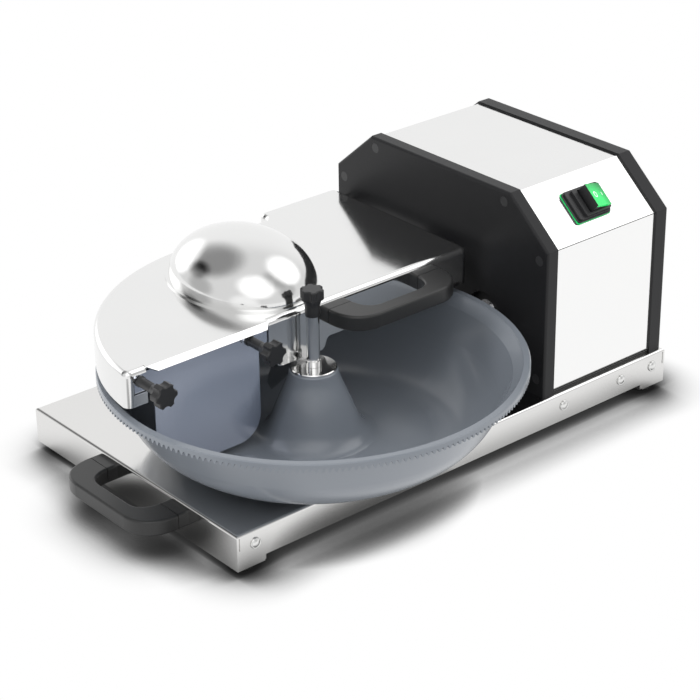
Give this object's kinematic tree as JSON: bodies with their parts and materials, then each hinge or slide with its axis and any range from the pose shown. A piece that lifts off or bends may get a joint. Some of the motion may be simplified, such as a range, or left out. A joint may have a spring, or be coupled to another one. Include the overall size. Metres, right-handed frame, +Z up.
{
  "type": "meat bowl cutter",
  "caption": "Table-top meat bowl cutter: turning trough bowl on a sheet tray, half lid with knife dome, guard plate, bow handles and a chamfered motor housing.",
  "frame": {"origin": "middle of the object's footprint, on the surface that the feet stand on", "axes": "+X along the base from the carrying handle to the motor housing, +Y from the operator to the back, +Z up"},
  "size_m": [0.7736, 0.5504, 0.3105],
  "materials": {
    "polished_steel": "polished",
    "sheet_steel": "polished sheet",
    "guard_steel": "polished",
    "bowl_plastic": "semi-gloss",
    "housing_black": "satin",
    "plug_black": "satin",
    "knob_black": "satin",
    "handle_black": "satin",
    "handle_cap_black": "satin",
    "rubber_black": "matte",
    "screw_steel": "bright",
    "switch_black": "satin",
    "lens_green": "see-through, lit",
    "motor_paint": "satin",
    "capacitor_grey": "semi-gloss",
    "cast_alu": "machined",
    "plate_steel": "zinc plated",
    "shaft_steel": "ground",
    "bearing_steel": "ground",
    "pulley_alu": "machined",
    "blade_steel": "ground edge",
    "pinion_plastic": "moulded"
  },
  "bodies": {
    "root": {"base_tray": "sheet_steel", "corner_brackets": "sheet_steel", "rubber_feet": "rubber_black", "foot_bolts": "screw_steel", "tray_screws": "screw_steel", "base_handle": "handle_black", "base_handle_caps": "handle_cap_black", "base_handle_bolts": "screw_steel", "bowl_bearing_housing": "cast_alu", "front_end_plate": "housing_black", "rear_end_plate": "housing_black", "end_plate_plugs": "plug_black", "tie_rods": "screw_steel", "housing_top_skin": "polished_steel", "front_side_panel": "sheet_steel", "back_side_panel": "sheet_steel", "plinth_strips": "rubber_black", "switch_bezel": "switch_black", "switch_body": "switch_black", "bearing_plate": "plate_steel", "motor_body": "motor_paint", "motor_end_bell": "motor_paint", "capacitor": "capacitor_grey", "knife_belt": "rubber_black", "bowl_belt": "rubber_black", "cable_gland": "switch_black", "bearing_nose": "cast_alu", "knife_bearings": "bearing_steel", "pinion_bearings": "bearing_steel", "hinge_pin": "shaft_steel"},
    "knife": {"knife_shaft": "shaft_steel", "knife_pulley": "pulley_alu", "knife_hub": "shaft_steel", "knife_blade_1": "blade_steel", "knife_blade_2": "blade_steel", "knife_spacer": "shaft_steel", "knife_nut": "shaft_steel"},
    "rotor": {"motor_shaft": "shaft_steel", "motor_pulley": "pulley_alu"},
    "pinion": {"pinion_gear": "pinion_plastic", "pinion_shaft": "shaft_steel", "bowl_pulley": "pulley_alu"},
    "bowl": {"bowl": "bowl_plastic", "bowl_gear_ring": "bowl_plastic", "bowl_hub_disc": "polished_steel", "bowl_spindle": "shaft_steel"},
    "clamp": {"clamp_post": "polished_steel", "clamp_knob": "knob_black"},
    "lid": {"lid_shell": "polished_steel", "knife_dome": "polished_steel", "guard_plate": "guard_steel", "guard_washers": "polished_steel", "lid_handle": "handle_black", "lid_handle_caps": "handle_cap_black", "lid_handle_bolts": "screw_steel", "lid_hinge_knuckles": "cast_alu"},
    "left_knob": {"guard_knob_left": "knob_black"},
    "right_knob": {"guard_knob_right": "knob_black"},
    "rocker": {"switch_rocker": "switch_black", "switch_lens": "lens_green"}
  },
  "joints": [
    {"name": "knife_spin", "type": "hinge", "parent": "root", "child": "knife", "pos_m": [-0.11675, 0.114, 0.178], "axis": [1, 0, 0], "continuous": true},
    {"name": "motor_spin", "type": "hinge", "parent": "root", "child": "rotor", "pos_m": [0.27525, 0.0075, 0.221], "axis": [1, 0, 0], "continuous": true},
    {"name": "pinion_spin", "type": "hinge", "parent": "root", "child": "pinion", "pos_m": [0.27525, -0.018, 0.13661], "axis": [1, 0, 0], "continuous": true},
    {"name": "bowl_spin", "type": "hinge", "parent": "root", "child": "bowl", "pos_m": [-0.11675, -0.018, 0.056], "axis": [0, 0, 1], "continuous": true},
    {"name": "clamp_turn", "type": "hinge", "parent": "bowl", "child": "clamp", "pos_m": [-0.11675, -0.018, 0.216], "axis": [0, 0, 1], "continuous": true},
    {"name": "lid_hinge", "type": "hinge", "parent": "root", "child": "lid", "pos_m": [0.10025, 0.2455, 0.208], "axis": [-1, 0, 0], "range_deg": [0, 85]},
    {"name": "left_knob_turn", "type": "hinge", "parent": "lid", "child": "left_knob", "pos_m": [-0.35135, 0, 0.2095], "axis": [0, -1, 0], "continuous": true},
    {"name": "right_knob_turn", "type": "hinge", "parent": "lid", "child": "right_knob", "pos_m": [-0.19775, 0, 0.2095], "axis": [0, -1, 0], "continuous": true},
    {"name": "switch_rock", "type": "hinge", "parent": "root", "child": "rocker", "pos_m": [0.26825, -0.0888, 0.27611], "axis": [0, -0.7608, -0.6489], "range_deg": [0, 12]}
  ],
  "couplings": [
    {"joint": "motor_spin", "follows": "knife_spin", "ratio": 1},
    {"joint": "pinion_spin", "follows": "knife_spin", "ratio": 0.25},
    {"joint": "bowl_spin", "follows": "knife_spin", "ratio": -0.022222}
  ]
}
